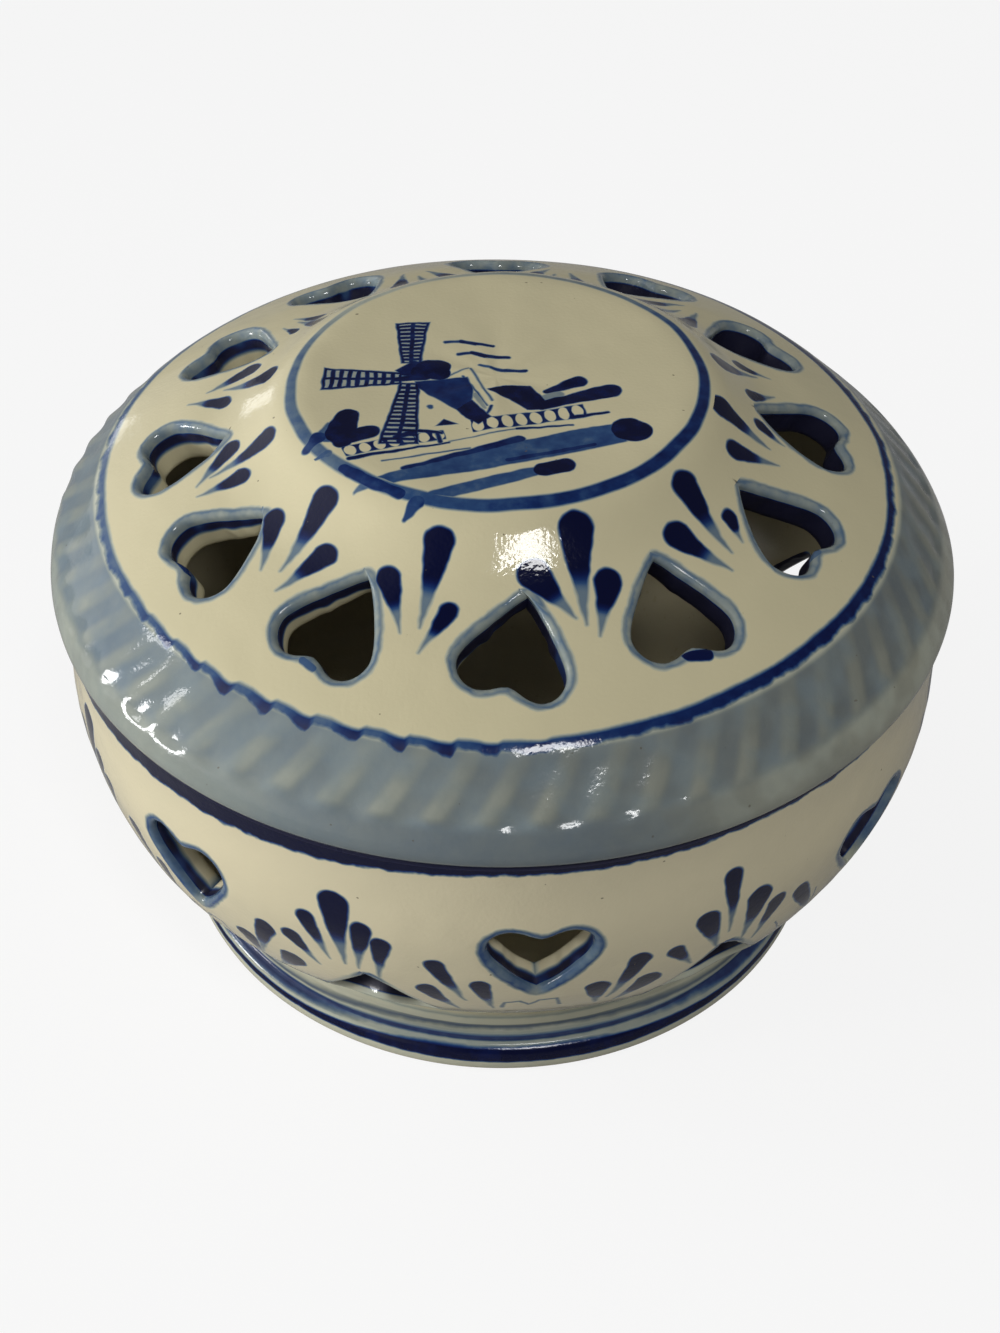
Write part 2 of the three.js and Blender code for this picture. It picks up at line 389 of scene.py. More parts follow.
# The lid

# Hearts in the photograph, by their cell's azimuth: degrees and millimetres off their place,
# lean and size
LID_SEEN = {
    -178.5: (5.4, -1.1, 6, 0.95), -148.5: (3.4, -0.9, 8, 0.95), -118.5: (2.1, -0.4, 8, 0.95),
    -88.5: (2.1, -0.5, 15, 0.95), -58.5: (-0.4, -1.1, 9, 0.96), -28.5: (-0.2, -1.9, 6, 0.97),
    1.5: (-1, -1.9, 3, 0.97), 31.5: (0, -1.2, 0, 0.97), 151.5: (2.2, -2, 2, 0.97),
    121.5: (1.5, -1.4, 0, 0.97),
}


def flutes(theta, s):
    """How far the fluted band sinks: slanting grooves between ribs, closed off at both ends."""
    turn = FLUTES * (theta - radians(LID_PHASE)) + FLUTE_SLANT * (s - FLUTE_MIDDLE)
    rib = (0.5 + 0.5 * np.cos(turn)) ** 1.15
    # The grooves end lower on the left than in front
    end = FLUTE_END + np.cos(theta + radians(170))
    fade = eased((s - FLUTE_START) / 2.4) * eased((end - s) / 0.8)
    depth = FLUTE_DEPTH * (1 + 0.25 * np.sin(5 * theta + 1) + 0.15 * np.sin(23 * theta))
    deeper = 0.4 + 0.6 * np.clip((s - 60) / 2.2, 0, 1)
    return depth * deeper * fade * (1 - rib)


def lid_piece(slots):
    profile = Profile(LID_OUTSIDE)
    top, bottom = LID_BAND
    under = rounded(LID_UNDERSIDE)
    under[-1] = np.array(profile.at(bottom, WALL))
    rho = OUTSIDE_REACH / profile.end
    tau = INSIDE_REACH / (bottom + lengths(under)[-1])
    cut = (SHOULDER, LID_INSIDE)
    theta = around(LID_CELLS * LID_ACROSS, LID_PHASE)
    skin = Skin(profile, lambda s: rho * s, lambda s: tau * s, cut, theta, LID_SWELL)
    border = cell_border(lambda a: top, lambda a: bottom, pi / LID_CELLS, LID_ACROSS)
    for k in range(LID_CELLS):
        azimuth = LID_PHASE + LID_STEP * (k - 4)
        unseen = (near(1.5, k), near(0.3, k + 3), near(6, k + 7), 1)
        heart = LID_SEEN.get(wrapped(azimuth), unseen)
        pierced_cell(skin, radians(azimuth), border, LID_HEART_AT, heart, True)
    crest = [0, 1.5, 5, 10, 15, 19, 21.5, 23, 24, 24.8, 25.5, 26.1, MEDALLION_END]
    skin.outside(crest, MEDALLION)
    skin.outside([MEDALLION_END, 27.4, 28.4, 29.3, 30.2, 31.1, 32, 32.8, top], SHOULDER)
    rows = [np.linspace(bottom, 54.9, 5), np.linspace(55.4, 64, 18)]
    rows = np.concatenate([*rows, np.linspace(64.5, profile.end, 8)])
    skin.outside(rows, FLUTED, flutes)
    skin.path(under, INSIDE_REACH, skin.tau(bottom), LID_INSIDE)
    skin.offset([top, 31, 28.5, 26.5, 24.5, 22, 12, 0], LID_INSIDE)
    return skin.piece("painted_lid", slots)


# The bowl

# Hearts in the photograph, by their cell's number, with the same measures
UPPER_SEEN = {0: (0.3, 0.1, 1, 0.97), 1: (2.8, 2, -2, 0.98), 7: (-0.2, 0.3, 0, 0.97)}
LOWER_SEEN = {0: (1.5, -0.5, 0, 1.12), 7: (2.4, 0.2, 0, 1.06)}


def between_rows(a):
    """The wavy border between the upper and the lower hearts, by azimuth from an upper heart."""
    return 22.9 + 2.2 * cos(BOWL_CELLS * a)


def bowl_piece(slots):
    profile = Profile(BOWL_OUTSIDE)
    rim = rounded(BOWL_RIM)
    inside_from, inside_to = 3.3, 45
    rim[-1] = np.array(profile.at(inside_from, WALL))
    wall_end = np.array(profile.at(inside_to, WALL))
    floor = rounded([(*wall_end, 0), (37.5, 10, 5), (18, 10, 0), (0, 10, 0)])
    total = lengths(rim)[-1] + (inside_to - inside_from) + lengths(floor)[-1]
    rim_share = lengths(rim)[-1] / total

    def rho(s):
        return OUTSIDE_REACH - (OUTSIDE_REACH - FOOT_REACH) * s / profile.end

    def tau(s):
        return INSIDE_REACH * (1 - rim_share - (s - inside_from) / total)

    theta = around(BOWL_CELLS * BOWL_ACROSS, BOWL_PHASE)
    skin = Skin(profile, rho, tau, (BELLY, BOWL_INSIDE), theta)
    half = pi / BOWL_CELLS
    top, bottom = BOWL_BAND
    upper = cell_border(lambda a: top, between_rows, half, BOWL_ACROSS)
    lower = cell_border(lambda a: between_rows(half - a), lambda a: bottom, half, BOWL_ACROSS)
    for k in range(BOWL_CELLS):
        azimuth = BOWL_PHASE + BOWL_STEP * k
        unseen = (near(0.8, k), near(0.3, k + 3), near(4, k + 5), 0.98)
        heart = UPPER_SEEN.get(k, unseen)
        pierced_cell(skin, radians(azimuth), upper, UPPER_HEART_AT, heart, False)
        unseen = (near(1, k + 9), 0.5 + near(0.2, k + 4), near(4, k + 6), 1.04)
        heart = LOWER_SEEN.get(k, unseen)
        middle = radians(azimuth + BOWL_STEP / 2)
        pierced_cell(skin, middle, lower, LOWER_HEART_AT, heart, True)
    skin.outside(np.linspace(0, top, 7), BELLY)
    skin.outside(np.linspace(bottom, FOOT_START, 8), BELLY)
    skin.outside(np.linspace(FOOT_START, profile.end, 30), FOOT)
    skin.path(rounded(BOWL_FOOT), FOOT_REACH, 0, BISCUIT, True)
    skin.path(rim, INSIDE_REACH, tau(inside_from), BOWL_INSIDE)
    skin.offset([inside_from, 4.6, top], BOWL_INSIDE)
    skin.offset([bottom, 40, 42.5, inside_to], BOWL_INSIDE)
    skin.path(floor, tau(inside_to), 0, BOWL_INSIDE)
    return skin.piece("painted_bowl", slots)


# Paint: numbers and vectors that a material works out at each point of the surface

# Screen colours: bare glaze, lighter inside as painted light in the hollow, and the ink by its
# amount from pale to the darkest blue
LID_CREAM, BOWL_CREAM, INSIDE_CREAM = (203, 195, 163), (213, 204, 175), (232, 220, 180)
INK = [
    (0.16, (173, 177, 164)), (0.3, (134, 143, 141)), (0.44, (93, 113, 132)), (0.58, (45, 75, 119)),
    (0.72, (16, 42, 95)), (0.86, (4, 19, 70)), (1, (1, 6, 45)),
]
# Shares of light: both ends of the glaze's uneven tone, and a dark brown mixed in for specks, for
# greyer paint and as painted shade
TONES = [(0, (0.93, 0.93, 0.9, 1)), (1, (1, 0.985, 0.95, 1))]
SPECK_AND_SHADE_BROWN = (0.1, 0.085, 0.06, 1)
# Millimetres over which the edge of a leaf and of any other stroke fades
LEAF_SOFT, STROKE_SOFT = 0.24, 0.14
# How far about the brush wanders
WANDER = 0.5
# What 1 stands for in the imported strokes: millimetres across a cell and of half width
SPREAD, WIDEST = 40, 4


def linear(byte):
    """A screen colour's channel as a share of light."""
    c = byte / 255
    return c / 12.92 if c <= 0.04045 else ((c + 0.055) / 1.055) ** 2.4


def arithmetic(operation):
    return lambda self, other: self.nodes.math(operation, self, other)


class Num:
    """A node's output, with the usual arithmetic."""

    __add__, __sub__ = arithmetic("ADD"), arithmetic("SUBTRACT")
    __mul__, __truediv__ = arithmetic("MULTIPLY"), arithmetic("DIVIDE")
    max, min = arithmetic("MAXIMUM"), arithmetic("MINIMUM")

    def __init__(self, nodes, socket):
        self.nodes, self.socket = nodes, socket

    def __rsub__(self, other):
        return self.nodes.math("SUBTRACT", other, self)

    def call(self, operation, *others):
        return self.nodes.math(operation, self, *others)

    def scaled(self, factor, offset, clamp=False):
        return self.nodes.math("MULTIPLY_ADD", self, factor, offset, clamp=clamp)

    def step(self, low, high):
        """0 below low and 1 above high, or the other way round where low is above high."""
        return self.scaled(1 / (high - low), -low / (high - low), True)

    def filled(self, soft):
        """Cover of an area whose depth this is, with an edge of the given softness."""
        return self.scaled(0.5 / soft, 0.5, True)

    def smooth(self, low, high, start, end):
        """Passes gently from start to end as this goes from low to high."""
        values = (self, low, high, start, end)
        node = self.nodes.new("MapRange", *values, interpolation_type="SMOOTHSTEP")
        return Num(self.nodes, node.outputs["Result"])

    def between(self, low, high, soft):
        return self.step(low - soft, low + soft) * self.step(high + soft, high - soft)


class Nodes:
    """The node tree of a material or a world, filled node by node."""

    def __init__(self, owner):
        owner.use_nodes = True
        self.owner, self.tree = owner, owner.node_tree
        self.tree.nodes.clear()

    def new(self, kind, *values, **settings):
        """A new node with the given settings, whose first inputs take the values."""
        node = self.tree.nodes.new("ShaderNode" + kind)
        for key, value in settings.items():
            setattr(node, key, value)
        for socket, value in zip(node.inputs, values):
            self.set(socket, value)
        return node

    def set(self, socket, value):
        """Gives an input a constant, or links it to an output or to a node's first one."""
        if isinstance(value, Num):
            value = value.socket
        elif isinstance(value, bpy.types.Node):
            value = value.outputs[0]
        if isinstance(value, bpy.types.NodeSocket):
            self.tree.links.new(value, socket)
        else:
            socket.default_value = value

    def plug(self, kind, inputs, *values, **settings):
        """A new node, some of whose inputs are set by their names."""
        node = self.new(kind, *values, **settings)
        for label, value in inputs.items():
            self.set(node.inputs[label], value)
        return node

    def math(self, operation, *values, clamp=False):
        node = self.new("Math", *values, operation=operation, use_clamp=clamp)
        return Num(self, node.outputs[0])

    def vector(self, operation, *values):
        node = self.new("VectorMath", *values, operation=operation)
        numeric = operation in ("LENGTH", "DOT_PRODUCT")
        return Num(self, node.outputs["Value"]) if numeric else node

    def times(self, vector, factor):
        return self.plug("VectorMath", {"Scale": factor}, vector, operation="SCALE")

    def camera_sees(self):
        return Num(self, self.new("LightPath").outputs["Is Camera Ray"])


class Paint(Nodes):
    """One glaze material and the places its paint is laid out by."""

    def __init__(self, name):
        super().__init__(bpy.data.materials.new(name))
        place = self.new("TexCoord").outputs["Object"]
        self.mm = self.times(place, 1 / MM)
        self.x, self.y, self.z = self.split(self.mm)
        self.radius = self.vector("LENGTH", self.join(self.x, self.y))
        self.azimuth = self.math("ARCTAN2", self.y, self.x) * (180 / pi)
        self.along, self.edge = self.read("along_mm"), self.read("edge_mm")

    def join(self, x, y):
        return self.new("CombineXYZ", x, y)

    def split(self, vector):
        return [Num(self, out) for out in self.new("SeparateXYZ", vector).outputs]

    def read(self, name):
        return Num(self, self.new("Attribute", attribute_name=name).outputs["Fac"])

    def noise(self, scale, detail, colour=False):
        """Smooth noise about 0.5, with features of about 1/scale millimetres."""
        node = self.plug("TexNoise", {"Scale": scale, "Detail": detail}, self.mm)
        return node.outputs["Color"] if colour else Num(self, node.outputs["Fac"])

    def ramp(self, value, stops, interpolation="LINEAR"):
        """A node that turns a number into a colour, by (position, colour) stops."""
        node = self.new("ValToRGB", value)
        node.color_ramp.interpolation = interpolation
        elements = node.color_ramp.elements
        while len(elements) < len(stops):
            elements.new(0.5)
        # Moving a stop can reorder them, so the colours wait until all are in place
        for k, (position, _) in enumerate(stops):
            elements[k].position = position
        for element, (_, colour) in zip(elements, stops):
            element.color = colour
        return node

    def mix(self, share, first, second, blend="MIX"):
        inputs = {"Factor": share, "A": first, "B": second}
        return self.plug("Mix", inputs, data_type="RGBA", blend_type=blend).outputs["Result"]

    def cells(self, count, middle):
        """The cell a point is in, as a share of the turn, and the radians off its middle."""
        # Two turns more keep this above 0
        turn = (self.azimuth + (720 - middle + 180 / count)) * (count / 360)
        turn = turn.call("MODULO", count)
        index = turn.call("FLOOR")
        return (index + 0.5) / count, (turn - index - 0.5) * (2 * pi / count)

    def pick(self, share, rows):
        """The four numbers, from 0 to 1, of the cell at a share of the turn."""
        stops = [(k / len(rows), row) for k, row in enumerate(rows)]
        node = self.ramp(share, stops, "CONSTANT")
        return [*self.split(node), Num(self, node.outputs["Alpha"])]

    def brushed(self, x, y, scale=0.45):
        """The point moved about a little, as a brush wanders."""
        shake = self.vector("SUBTRACT", self.noise(scale, 1, True), (0.5, 0.5, 0.5))
        return self.vector("MULTIPLY_ADD", shake, (WANDER, WANDER, 0), self.join(x, y))

    def glaze(self, ink, brown_share=0, bump=0.25, roughness=0.07, bare=LID_CREAM):
        """Finishes the material from its ink, from 0 for bare glaze to 1 for the darkest blue."""
        stops = [(at, (*map(linear, colour), 1)) for at, colour in [(0, bare), *INK]]
        tone = self.ramp(self.noise(0.09, 3).scaled(0.9, -0.02, True), TONES)
        colour = self.mix(1, self.ramp(ink, stops), tone, "MULTIPLY")
        specks = self.noise(1.5, 0).step(0.885, 0.9) * 0.7
        # Duller within the hearts
        dull = self.edge.step(-0.5, -1.5) * 0.5 + (roughness - 0.03)
        # A slow swell, a ripple and a fine grain
        height = self.noise(0.16, 1) + self.noise(0.9, 2) * 0.06 + self.noise(2, 1) * 0.14
        relief = {"Strength": bump, "Distance": 0.6 * MM, "Height": height}
        # Dark brown goes in for specks and by the share given, which is painted shade inside the
        # pieces and a greyer, darker tone elsewhere
        self.new("OutputMaterial", self.plug("BsdfPrincipled", {
            "Base Color": self.mix(specks.max(brown_share), colour, SPECK_AND_SHADE_BROWN),
            "Specular IOR Level": 0.28,
            "Roughness": self.noise(0.5, 2) * 0.08 + dull,
            "Normal": self.plug("Bump", relief),
        }))
        return self.owner


def locate(paint, point, start, end):
    """Where a point is along the way from start to end, from 0 to 1, and how far off it.

    start and end are pairs of millimetres or vector sockets.
    """
    if isinstance(start, tuple):
        way = (end[0] - start[0], end[1] - start[1], 0)
        square = way[0] ** 2 + way[1] ** 2
        off = paint.vector("SUBTRACT", point, (*start, 0))
        share = paint.vector("DOT_PRODUCT", off, tuple(v / square for v in way))
        back = tuple(-v for v in way)
    else:
        way = paint.vector("SUBTRACT", end, start)
        off = paint.vector("SUBTRACT", point, start)
        share = paint.vector("DOT_PRODUCT", off, way) / paint.vector("DOT_PRODUCT", way, way)
        back = paint.times(way, -1)
    share = share.scaled(1, 0, True)
    return share, paint.vector("LENGTH", paint.vector("MULTIPLY_ADD", share, back, off))


def leaf(paint, point, start, end, width):
    """Ink of a pressed stroke: full and dark at its start, narrow and pale at its end."""
    share, gap = locate(paint, point, start, end)
    taper = share.scaled(-1, 1).call("POWER", 1.15).scaled(0.92, 0.08)
    return (width * taper - gap).filled(LEAF_SOFT) * share.smooth(0.38, 0.66, 1, 0.42)


def dab(paint, point, x0, y0, x1, y1, first, last, dark):
    """Ink of an even stroke whose half width goes from first to last."""
    share, gap = locate(paint, point, (x0, y0), (x1, y1))
    return (share.scaled(last - first, first) - gap).filled(STROKE_SOFT) * dark


def patch(paint, point, corners, dark):
    """Ink of an area with a convex outline, whose corners go round clockwise."""
    depth = None
    for a, b in zip(corners, corners[1:] + corners[:1]):
        length = dist(a, b)
        way = ((b[1] - a[1]) / length, (a[0] - b[0]) / length, 0)
        side = paint.vector("DOT_PRODUCT", point, way) - (a[0] * way[0] + a[1] * way[1])
        depth = side if depth is None else depth.min(side)
    return depth.filled(STROKE_SOFT) * dark


def axes(paint, point, start, end):
    """Distances of a point along and across the way from start to end, and its length."""
    length = dist(start, end)
    x, y = (end[0] - start[0]) / length, (end[1] - start[1]) / length
    along = paint.vector("DOT_PRODUCT", point, (x, y, 0)) - (start[0] * x + start[1] * y)
    across = paint.vector("DOT_PRODUCT", point, (-y, x, 0)) - (start[1] * x - start[0] * y)
    return along, across, length


def sail(paint, point, tip, root, half_tip, half_root, rung):
    """Ink of a windmill's sail: a wash crossed by three spars and many rungs."""
    along, across, length = axes(paint, point, tip, root)
    half = along.scaled((half_root - half_tip) / length, half_tip)
    across = across.call("ABSOLUTE")
    depth = (half - across).min(along.min(length - along))
    spar = across.call("PINGPONG", half * 0.5)
    rungs = along.call("PINGPONG", rung / 2)
    lines = spar.min(rungs).step(0.36, 0.18)
    return (depth + 0.12).scaled(3, 0.5, True) * lines.scaled(0.64, 0.24)


def stones(paint, point, start, end, high):
    """Ink around a row of rounded stones that stand on the way from start to end."""
    low, width = 0.1, 1.75
    along, across, length = axes(paint, point, start, end)
    beside = along.call("PINGPONG", width / 2).scaled(-2 / width, 1)
    above = (across - (low + high) / 2) * (2 / (high - low))
    outside = (beside * beside * 1.45 + above * above * 0.9).step(0.72, 1.05)
    ends = along.step(0, 0.2) * along.step(length, length - 0.2)
    return outside * ends * across.between(low, high, 0.15) * 0.82


def most(ink, *others):
    """The darkest of several inks."""
    for other in others:
        ink = ink.max(other)
    return ink


def sprays(paint, share, point, tables, widths, radius_at, low, span):
    """Ink of one stroke per table in each cell; widths holds the strokes' half widths by cell.

    The tables give a stroke's ends as (degrees, length) pairs, from low to low + span long.
    """
    def pack(a, s):
        return radians(a) * radius_at(s) / SPREAD + 0.5, (s - low) / span

    def unpack(x, s):
        return paint.join(x.scaled(SPREAD, -SPREAD / 2), s.scaled(span, low))

    half_widths = [tuple(w / WIDEST for w in (*row, 0, 0, 0)[:4]) for row in widths]
    inks = []
    for table, half_width in zip(tables, paint.pick(share, half_widths)):
        rows = [pack(*start) + pack(*end) for start, end in table]
        x0, s0, x1, s1 = paint.pick(share, rows)
        inks.append(leaf(paint, point, unpack(x0, s0), unpack(x1, s1), half_width * WIDEST))
    return inks


def heart_outline(paint, rough, reach, soft, spread, least):
    """Ink of the uneven line around each heart, out to the given reach."""
    edge = paint.edge + rough * 0.7 - 0.35
    dark = edge.step(0.4, 0.9) * 0.14 + rough.scaled(spread, least)
    return edge.between(-1.2, reach, soft) * dark


# Leaf sprays on the lid's shoulder, cell by cell from this azimuth on: the middle, left and
# right strokes, from the fat end to the tail, by degrees off the cell's middle and length
SPRAY_PHASE = -163
SPRAYS = [
    [((1, 29.8), (1.6, 38.4)), ((-4, 34.9), (2.2, 40.4)), ((6.4, 34.8), (5, 40.8))],
    [((0.5, 29.8), (2, 39.6)), ((-7.5, 35.2), (-1.2, 40.8)), ((7.7, 35.6), (4, 42))],
    [((0.7, 30.3), (0.3, 40.4)), ((-7.8, 35.5), (-2.5, 41.5)), ((4.7, 38.2), (1.2, 43.6))],
    [((1.4, 29.2), (-1.5, 40.4)), ((-9, 33.9), (-3, 39.4)), ((4.7, 36.1), (0, 42))],
    [((2, 29.6), (0.4, 39)), ((-7, 34), (-2.5, 40.6)), ((6.2, 35.8), (4, 38.8))],
    [((2.7, 28), (1.5, 35.8)), ((-7.5, 31.4), (-1.8, 37.5)), ((7.7, 34.3), (5.2, 37.8))],
    [((-3, 30), (0, 37.4)), ((-11, 34), (-7, 38.2)), ((3.2, 35.6), (0.6, 39.6))],
    [((0.5, 29.6), (0, 39)), ((-7.5, 34.6), (-2, 41)), ((6.5, 35), (2, 41.5))],
    [((1, 29.4), (0.2, 39.4)), ((-8, 34.8), (-2.5, 41.3)), ((6, 35.6), (2, 42))],
    [((-0.5, 29.8), (0, 39)), ((-7.8, 35), (-2.6, 41.2)), ((6.4, 34.8), (2.4, 41.6))],
    [((5.2, 30.5), (3, 36.4)), ((0.6, 33.6), (1.8, 38.2)), ((8.4, 34), (6.4, 37.4))],
    [((2.6, 30.4), (2.2, 37.4)), ((-4.6, 35), (2.4, 40)), ((7.2, 36.8), (5.2, 42.2))],
]
# Half the width of each of these strokes
SPRAY_WIDTHS = [
    (1.5, 1.4, 1.3), (1.75, 1.6, 1.6), (1.85, 1.5, 1.2), (2.05, 1.95, 1.65), (1.9, 1.85, 1.1),
    (1.9, 1.5, 1.1), (1.7, 1.2, 1.1), (1.7, 1.5, 1.4), (1.8, 1.5, 1.5), (1.7, 1.6, 1.4),
    (1.4, 1.1, 0.8), (1.75, 1.5, 1.35),
]


# The landscape on the medallion, in millimetres from its middle, to the right and away.
# Areas: corners clockwise, and the ink
PATCHES = [
    ([(-9.9, -0.8), (-3.4, 0.1), (-2.7, -2.6), (-2.9, -5.2), (-4.6, -7.2), (-9.7, -2)], 0.76),
    ([(-4.8, -6.9), (-2.9, -4.9), (-0.4, -8.6), (-2, -10), (-3.6, -8.8)], 0.92),
    ([(-0.9, -2.6), (1, -1.9), (4.2, -2), (5.3, -3.8), (6.1, -5.4), (5.6, -6.9),
     (3.8, -7)], 0.97),
    ([(-12.4, 1.6), (-10.2, 3.9), (-8.6, 3.2), (-9.2, 0.1), (-11.6, 0.5)], 0.86),
    ([(-7.1, -10.4), (-6.1, -9), (-4.5, -10.1)], 0.9),
    ([(-19.9, -9.4), (-18.4, -9.6), (-18.6, -13.6), (-22.3, -12.9)], 0.55),
    ([(-14.9, -19.7), (-4, -15.9), (3.2, -12.5), (14.6, -10), (15.4, -13.7), (0, -18.8),
     (-11.6, -21.5)], 0.6),
    ([(-9.6, -23.2), (0, -20.1), (6.4, -17.5), (7.2, -19.7), (2, -21.6), (-3.6, -24.3)], 0.6),
]
# Strokes: start, end, the half width at each, and the ink
DABS = [
    (-8.4, 2.1, -7.2, 2.1, 1.75, 1.65, 0.97), (-9.5, 1.4, -6.8, 0.8, 1.2, 1.3, 0.95),
    (-17.7, -8, -18.4, -11.6, 1.45, 1.95, 0.97), (-14.9, -11.5, -17.6, -12.6, 1.35, 1.3, 0.97),
    (-18.3, -12.2, -18, -13.4, 1.7, 1.2, 0.95), (10.1, -1.2, 6.2, -3.3, 1.15, 0.45, 0.92),
    (13.9, -3.2, 5.6, -6.2, 1.35, 0.8, 0.95), (7.6, -3.9, 5.8, -5, 0.7, 0.9, 0.34),
    (-7.9, -6.3, -7.8, -6.6, 0.42, 0.36, 0.55), (15.6, -11.3, 16.3, -11.7, 2.15, 2.05, 1),
    (8, -18.3, 5.6, -19.1, 1.3, 1.25, 1), (-10.5, -18.9, 2.8, -13.2, 0.35, 0.7, 0.8),
    (1.5, -17.3, 11.5, -14.2, 0.5, 0.4, 0.74), (-5.8, 0.3, -3.3, 1.9, 0.14, 0.14, 0.5),
    (-3, 1.8, -0.3, -5.3, 0.17, 0.17, 0.55), (-3.9, 0.2, -0.9, -6.3, 0.2, 0.14, 0.6),
    (-2.4, -3.9, -1.2, -6.8, 0.55, 0.25, 0.32), (-17, -16.9, -5.4, -13.8, 0.34, 0.14, 0.9),
    (-13, -17.5, -3, -14.9, 0.14, 0.14, 0.62), (-5.4, -13.6, 2.6, -11, 0.1, 0.14, 0.55),
    (2.6, -11, 9.2, -10.2, 0.22, 0.16, 0.85), (9.2, -8.7, 13.4, -7.9, 0.34, 0.2, 0.9),
    (-1.2, -8.8, -0.4, -6.4, 0.2, 0.2, 0.7), (-6.3, 7.9, -4.4, 8.1, 0.3, 0.3, 0.7),
    (-4.4, 8.1, -2.6, 7.5, 0.38, 0.4, 0.88), (-2.6, 7.5, -0.4, 7.2, 0.4, 0.26, 0.8),
    (-4.6, 5.1, -3, 5.4, 0.28, 0.28, 0.7), (-3, 5.4, -1.2, 4.7, 0.34, 0.42, 0.88),
    (-1.2, 4.7, 1.6, 4.4, 0.42, 0.28, 0.82), (-1.9, 2.7, -0.6, 2.1, 0.28, 0.28, 0.6),
    (-0.6, 2.1, 0.8, 1.4, 0.3, 0.36, 0.74), (0.8, 1.4, 3.6, 1.1, 0.36, 0.3, 0.8),
    (-12.2, -0.3, -8.6, 0.2, 0.5, 0.75, 0.9), (-11.6, -12.8, -9.6, -11.6, 0.45, 0.5, 0.85),
    (-9, -11.4, -6.4, -11.9, 0.3, 0.3, 0.88), (-6.9, -11.9, -6.5, -13.6, 0.26, 0.3, 0.85),
]
# Sails: tip, root, the half width at each, and the distance between rungs
SAILS = [
    ((-10.65, 12.5), (-10.5, 3.4), 2.05, 1.15, 0.84), ((-21.3, 0), (-11.6, -0.1), 2.35, 1.1, 1.08),
    ((-11.35, -14), (-10.6, -1.2), 2.25, 1.05, 0.92),
]
# Rows of stones: start, end and how high they stand
STONE_ROWS = [
    ((-17.4, -16.6), (-9, -13.9), 2.1), ((-9, -14), (-5.6, -13.2), 2),
    ((-2.6, -11.8), (11.2, -8.6), 2.6),
]
# Where the painter's ring was begun and ended, past its own line
RING_ENDS = [
    (-21, -12.4, -22.2, -14.2, 1.1, 0.6, 0.72), (-19.6, -15.6, -21.2, -16.1, 0.7, 0.2, 0.55),
    (-17.6, -18.4, -14.6, -20.8, 0.7, 0.8, 0.72), (-14.6, -20.8, -10.8, -23.2, 0.8, 0.7, 0.74),
    (-14.6, -21.2, -16, -22, 0.7, 0.2, 0.5), (-8.8, -24.6, -10.2, -26.2, 1, 0.3, 0.66),
]
# Touches of blue at the hearts' lobes, given like the strokes
HEART_TOUCHES = [
    (-37.9, -22.6, -36.2, -25, 0.5, 0.55, 0.72), (-21.3, -39.6, -19.9, -40.7, 0.5, 0.45, 0.55),
    (21, -38.9, 23.2, -38.3, 0.55, 0.8, 0.92), (36.2, -22.4, 37.6, -21.2, 0.45, 0.5, 0.5),
]

# How many marks are drawn before the renderer is made to finish them
MARKS_AT_ONCE = 8


def medallion_glaze():
    paint = Paint("lid_medallion")
    point = paint.brushed(paint.x, paint.y)
    marks = (patch, PATCHES), (dab, DABS + RING_ENDS), (sail, SAILS), (stones, STONE_ROWS)
    marks = [(draw, mark) for draw, table in marks for mark in table]
    ink = 0
    for n, (draw, mark) in enumerate(marks, 1):
        if n % MARKS_AT_ONCE == 0:
            # Too small to move the point: it only makes the renderer finish the marks so far
            point = paint.vector("MULTIPLY_ADD", ink, (1e-9, 1e-9, 0), point)
        ink = draw(paint, point, *mark).max(ink)
    wander = paint.noise(0.12, 1) - 0.5
    half = paint.y.smooth(-24, 10, 0.92, 0.58)
    ring = half - (paint.along + wander * 0.7 - RING_AT).call("ABSOLUTE")
    tone = paint.y.smooth(4, 23, 0, -0.36) + paint.x.smooth(-25, 20, -0.15, 0.12)
    ink = ink.max(ring.scaled(2.4, 0.5, True) * (tone + 0.64))
    return paint.glaze(ink * paint.noise(0.55, 3).scaled(0.55, 0.73))


def shoulder_glaze():
    paint = Paint("lid_shoulder")
    profile = Profile(LID_OUTSIDE)
    share, off = paint.cells(len(SPRAYS), SPRAY_PHASE)
    point = paint.brushed(off * paint.radius, paint.along, 0.5)
    tables = list(zip(*SPRAYS))
    inks = sprays(paint, share, point, tables, SPRAY_WIDTHS, profile.radius, 24, 24)
    place = paint.brushed(paint.x, paint.y)
    touches = [RING_ENDS[0], RING_ENDS[4], RING_ENDS[5], *HEART_TOUCHES]
    inks += [dab(paint, place, *touch) for touch in touches]
    inks.append(heart_outline(paint, paint.noise(0.5, 2), 1, 0.28, 0.34, 0.17))
    # Ink that ran into the hearts, all of it in front and in pools on the left; fuller and deeper
    # towards the right, where the dark walls are partly painted shade inside the holes
    pool_and_shade = paint.noise(0.22, 1).smooth(0.3, 0.5, 0.55, 0.97)
    pool_and_shade = pool_and_shade.max(paint.x.smooth(-15, 20, 0, 1))
    depth = paint.edge + paint.x.smooth(-30, 22, 0, 2.6)
    wall = paint.edge.step(-0.35, -0.9) * depth.step(-2.3, -1.7) * pool_and_shade
    return paint.glaze(most(*inks, wall), wall * 0.08)


